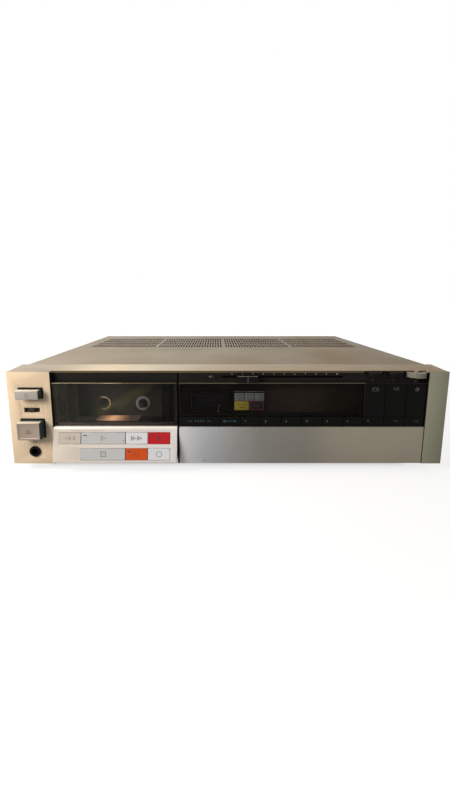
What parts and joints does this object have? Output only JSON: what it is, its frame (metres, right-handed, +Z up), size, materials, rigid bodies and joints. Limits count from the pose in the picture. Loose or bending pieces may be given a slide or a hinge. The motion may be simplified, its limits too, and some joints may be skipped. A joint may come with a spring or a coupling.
{
  "type": "cassette deck receiver",
  "caption": "Low, full-width stereo cassette deck receiver with a hinged cassette door, a drop-down flap, sprung keys, thumbwheels and a sliding volume control.",
  "frame": {"origin": "on the surface it stands on, under the middle of its bounding box", "axes": "+Z up, the front faces -Y, +X to the right seen from the front"},
  "size_m": [0.43, 0.357, 0.1058],
  "materials": {
    "champagne_paint": "satin champagne paint on sheet steel",
    "zinc_steel": "zinc-plated sheet steel",
    "dark_paint": "matt dark grey paint",
    "bezel_resin": "moulded and painted, fine satin grain",
    "foot_rubber": "black rubber",
    "screw_steel": "blackened steel",
    "black_resin": "black moulding, fine grain",
    "black_key": "black, semi-gloss",
    "smoked_acrylic": "smoked, polished, see-through",
    "display_glass": "dark filter in a grey frame",
    "board_green": "green laminate with solder mask",
    "transformer_iron": "varnished laminations",
    "sink_aluminium": "black anodised",
    "terminal_resin": "black with red and white levers",
    "deck_resin": "dark grey moulding",
    "motor_steel": "drawn steel cans",
    "panel_silver": "satin silver paint",
    "lens_bronze": "ribbed, pinkish bronze",
    "reel_silver": "bright ring on a dark spindle",
    "flywheel_steel": "turned steel",
    "head_metal": "polished heads on a plated bridge",
    "key_beige": "satin beige-grey",
    "key_grey": "satin light grey",
    "key_pale": "satin near white",
    "key_red": "satin red",
    "key_orange": "satin orange",
    "button_grey": "satin warm grey",
    "wheel_black": "black, ribbed rim",
    "wheel_white": "off-white, ribbed rim",
    "flap_aluminium": "horizontally brushed, clear anodised"
  },
  "bodies": {
    "root": {"bottom_tray": "zinc_steel", "rear_panel": "dark_paint", "top_cover": "champagne_paint", "front_bezel": "bezel_resin", "feet": "foot_rubber", "case_screws": "screw_steel", "fascia": "black_resin", "display_window": "smoked_acrylic", "display_unit": "display_glass", "front_board": "board_green", "control_recess": "black_resin", "main_board": "board_green", "power_transformer": "transformer_iron", "heat_sink": "sink_aluminium", "speaker_terminals": "terminal_resin", "signal_sockets": "terminal_resin", "mains_inlet": "terminal_resin", "headphone_jack": "terminal_resin", "deck_plate": "deck_resin", "deck_motors": "motor_steel"},
    "door": {"door_frame": "black_resin", "door_window": "smoked_acrylic", "control_panel": "panel_silver", "cassette_holder": "deck_resin", "lamp_lens": "lens_bronze"},
    "rewind_key": {"rewind_key": "key_beige"},
    "play_key": {"play_key": "key_grey"},
    "fast_forward_key": {"fast_forward_key": "key_pale"},
    "record_key": {"record_key": "key_red"},
    "stop_key": {"stop_key": "key_grey"},
    "pause_key": {"pause_key": "key_orange"},
    "mute_key": {"mute_key": "key_pale"},
    "counter_reset_key": {"counter_reset_key": "black_key"},
    "memory_key": {"memory_key": "black_key"},
    "preset_key_1": {"preset_key_1": "black_key"},
    "preset_key_2": {"preset_key_2": "black_key"},
    "preset_key_3": {"preset_key_3": "black_key"},
    "preset_key_4": {"preset_key_4": "black_key"},
    "preset_key_5": {"preset_key_5": "black_key"},
    "preset_key_6": {"preset_key_6": "black_key"},
    "preset_key_7": {"preset_key_7": "black_key"},
    "am_key": {"am_key": "black_key"},
    "fm_key": {"fm_key": "black_key"},
    "tape_key": {"tape_key": "black_key"},
    "tuner_key": {"tuner_key": "black_key"},
    "phono_key": {"phono_key": "black_key"},
    "power_button": {"power_button": "button_grey"},
    "eject_button": {"eject_button": "button_grey"},
    "timer_switch": {"timer_switch": "wheel_black"},
    "volume_knob": {"volume_knob": "wheel_black"},
    "bass_wheel": {"bass_wheel": "wheel_black"},
    "treble_wheel": {"treble_wheel": "wheel_black"},
    "balance_wheel": {"balance_wheel": "wheel_white"},
    "flap": {"flap": "flap_aluminium"},
    "level_knob": {"level_knob": "wheel_black"},
    "tuning_rocker": {"tuning_rocker": "wheel_black"},
    "supply_reel": {"supply_reel": "reel_silver"},
    "takeup_reel": {"takeup_reel": "reel_silver"},
    "flywheel": {"flywheel": "flywheel_steel"},
    "head_bridge": {"head_bridge": "head_metal"}
  },
  "joints": [
    {"name": "door_hinge", "type": "hinge", "parent": "root", "child": "door", "pos_m": [-0.11145, -0.1595, 0.019], "axis": [1, 0, 0], "range_deg": [0, 28]},
    {"name": "rewind_key_slide", "type": "slide", "parent": "door", "child": "rewind_key", "axis": [0, 0.9741, -0.2259], "range_m": [0, 0.0009], "stiffness_N_per_m": 150, "springref_m": -0.002},
    {"name": "play_key_slide", "type": "slide", "parent": "door", "child": "play_key", "axis": [0, 0.9741, -0.2259], "range_m": [0, 0.0009], "stiffness_N_per_m": 150, "springref_m": -0.002},
    {"name": "fast_forward_key_slide", "type": "slide", "parent": "door", "child": "fast_forward_key", "axis": [0, 0.9741, -0.2259], "range_m": [0, 0.0009], "stiffness_N_per_m": 150, "springref_m": -0.002},
    {"name": "record_key_slide", "type": "slide", "parent": "door", "child": "record_key", "axis": [0, 0.9741, -0.2259], "range_m": [0, 0.0009], "stiffness_N_per_m": 150, "springref_m": -0.002},
    {"name": "stop_key_slide", "type": "slide", "parent": "door", "child": "stop_key", "axis": [0, 0.9741, -0.2259], "range_m": [0, 0.0009], "stiffness_N_per_m": 150, "springref_m": -0.002},
    {"name": "pause_key_slide", "type": "slide", "parent": "door", "child": "pause_key", "axis": [0, 0.9741, -0.2259], "range_m": [0, 0.0009], "stiffness_N_per_m": 150, "springref_m": -0.002},
    {"name": "mute_key_slide", "type": "slide", "parent": "door", "child": "mute_key", "axis": [0, 0.9741, -0.2259], "range_m": [0, 0.0009], "stiffness_N_per_m": 150, "springref_m": -0.002},
    {"name": "counter_reset_key_slide", "type": "slide", "parent": "root", "child": "counter_reset_key", "axis": [0, 1, 0], "range_m": [0, 0.0008], "stiffness_N_per_m": 150, "springref_m": -0.002},
    {"name": "memory_key_slide", "type": "slide", "parent": "root", "child": "memory_key", "axis": [0, 1, 0], "range_m": [0, 0.0008], "stiffness_N_per_m": 150, "springref_m": -0.002},
    {"name": "preset_key_1_slide", "type": "slide", "parent": "root", "child": "preset_key_1", "axis": [0, 1, 0], "range_m": [0, 0.0008], "stiffness_N_per_m": 150, "springref_m": -0.002},
    {"name": "preset_key_2_slide", "type": "slide", "parent": "root", "child": "preset_key_2", "axis": [0, 1, 0], "range_m": [0, 0.0008], "stiffness_N_per_m": 150, "springref_m": -0.002},
    {"name": "preset_key_3_slide", "type": "slide", "parent": "root", "child": "preset_key_3", "axis": [0, 1, 0], "range_m": [0, 0.0008], "stiffness_N_per_m": 150, "springref_m": -0.002},
    {"name": "preset_key_4_slide", "type": "slide", "parent": "root", "child": "preset_key_4", "axis": [0, 1, 0], "range_m": [0, 0.0008], "stiffness_N_per_m": 150, "springref_m": -0.002},
    {"name": "preset_key_5_slide", "type": "slide", "parent": "root", "child": "preset_key_5", "axis": [0, 1, 0], "range_m": [0, 0.0008], "stiffness_N_per_m": 150, "springref_m": -0.002},
    {"name": "preset_key_6_slide", "type": "slide", "parent": "root", "child": "preset_key_6", "axis": [0, 1, 0], "range_m": [0, 0.0008], "stiffness_N_per_m": 150, "springref_m": -0.002},
    {"name": "preset_key_7_slide", "type": "slide", "parent": "root", "child": "preset_key_7", "axis": [0, 1, 0], "range_m": [0, 0.0008], "stiffness_N_per_m": 150, "springref_m": -0.002},
    {"name": "am_key_slide", "type": "slide", "parent": "root", "child": "am_key", "axis": [0, 1, 0], "range_m": [0, 0.0008], "stiffness_N_per_m": 150, "springref_m": -0.002},
    {"name": "fm_key_slide", "type": "slide", "parent": "root", "child": "fm_key", "axis": [0, 1, 0], "range_m": [0, 0.0008], "stiffness_N_per_m": 150, "springref_m": -0.002},
    {"name": "tape_key_slide", "type": "slide", "parent": "root", "child": "tape_key", "axis": [0, 1, 0], "range_m": [0, 0.0008], "stiffness_N_per_m": 150, "springref_m": -0.002},
    {"name": "tuner_key_slide", "type": "slide", "parent": "root", "child": "tuner_key", "axis": [0, 1, 0], "range_m": [0, 0.0008], "stiffness_N_per_m": 150, "springref_m": -0.002},
    {"name": "phono_key_slide", "type": "slide", "parent": "root", "child": "phono_key", "axis": [0, 1, 0], "range_m": [0, 0.0008], "stiffness_N_per_m": 150, "springref_m": -0.002},
    {"name": "power_button_slide", "type": "slide", "parent": "root", "child": "power_button", "axis": [0, 1, 0], "range_m": [0, 0.004], "stiffness_N_per_m": 200, "springref_m": -0.004},
    {"name": "eject_button_slide", "type": "slide", "parent": "root", "child": "eject_button", "axis": [0, 1, 0], "range_m": [0, 0.004], "stiffness_N_per_m": 200, "springref_m": -0.004},
    {"name": "timer_switch_slide", "type": "slide", "parent": "root", "child": "timer_switch", "axis": [1, 0, 0], "range_m": [-0.0044, 0.0044]},
    {"name": "volume_knob_slide", "type": "slide", "parent": "root", "child": "volume_knob", "axis": [1, 0, 0], "range_m": [-0.0152, 0.0882]},
    {"name": "bass_wheel_turn", "type": "hinge", "parent": "root", "child": "bass_wheel", "pos_m": [0.14497, -0.159, 0.1], "axis": [0, 0, 1], "range_deg": [-135, 135]},
    {"name": "treble_wheel_turn", "type": "hinge", "parent": "root", "child": "treble_wheel", "pos_m": [0.1653, -0.159, 0.1], "axis": [0, 0, 1], "range_deg": [-135, 135]},
    {"name": "balance_wheel_turn", "type": "hinge", "parent": "root", "child": "balance_wheel", "pos_m": [0.18563, -0.162, 0.1], "axis": [0, 0, 1], "range_deg": [-135, 135]},
    {"name": "flap_turn", "type": "hinge", "parent": "root", "child": "flap", "pos_m": [0.0738, -0.1615, 0.0142], "axis": [1, 0, 0], "range_deg": [0, 90]},
    {"name": "level_knob_turn", "type": "hinge", "parent": "root", "child": "level_knob", "pos_m": [0.0178, -0.1495, 0.02925], "axis": [0, 1, 0], "range_deg": [-135, 135]},
    {"name": "tuning_rocker_turn", "type": "hinge", "parent": "root", "child": "tuning_rocker", "pos_m": [0.0738, -0.148, 0.02925], "axis": [0, 0, 1], "range_deg": [-6, 6], "stiffness_Nm_per_rad": 0.02},
    {"name": "supply_reel_turn", "type": "hinge", "parent": "root", "child": "supply_reel", "pos_m": [-0.1327, -0.1295, 0.0625], "axis": [0, 1, 0], "continuous": true},
    {"name": "takeup_reel_turn", "type": "hinge", "parent": "root", "child": "takeup_reel", "pos_m": [-0.0902, -0.1295, 0.0625], "axis": [0, 1, 0], "continuous": true},
    {"name": "flywheel_turn", "type": "hinge", "parent": "root", "child": "flywheel", "pos_m": [-0.08045, -0.1235, 0.0359], "axis": [0, 1, 0], "continuous": true},
    {"name": "head_bridge_slide", "type": "slide", "parent": "root", "child": "head_bridge", "axis": [0, 0, 1], "range_m": [0, 0.006], "stiffness_N_per_m": 40, "springref_m": -0.006}
  ]
}
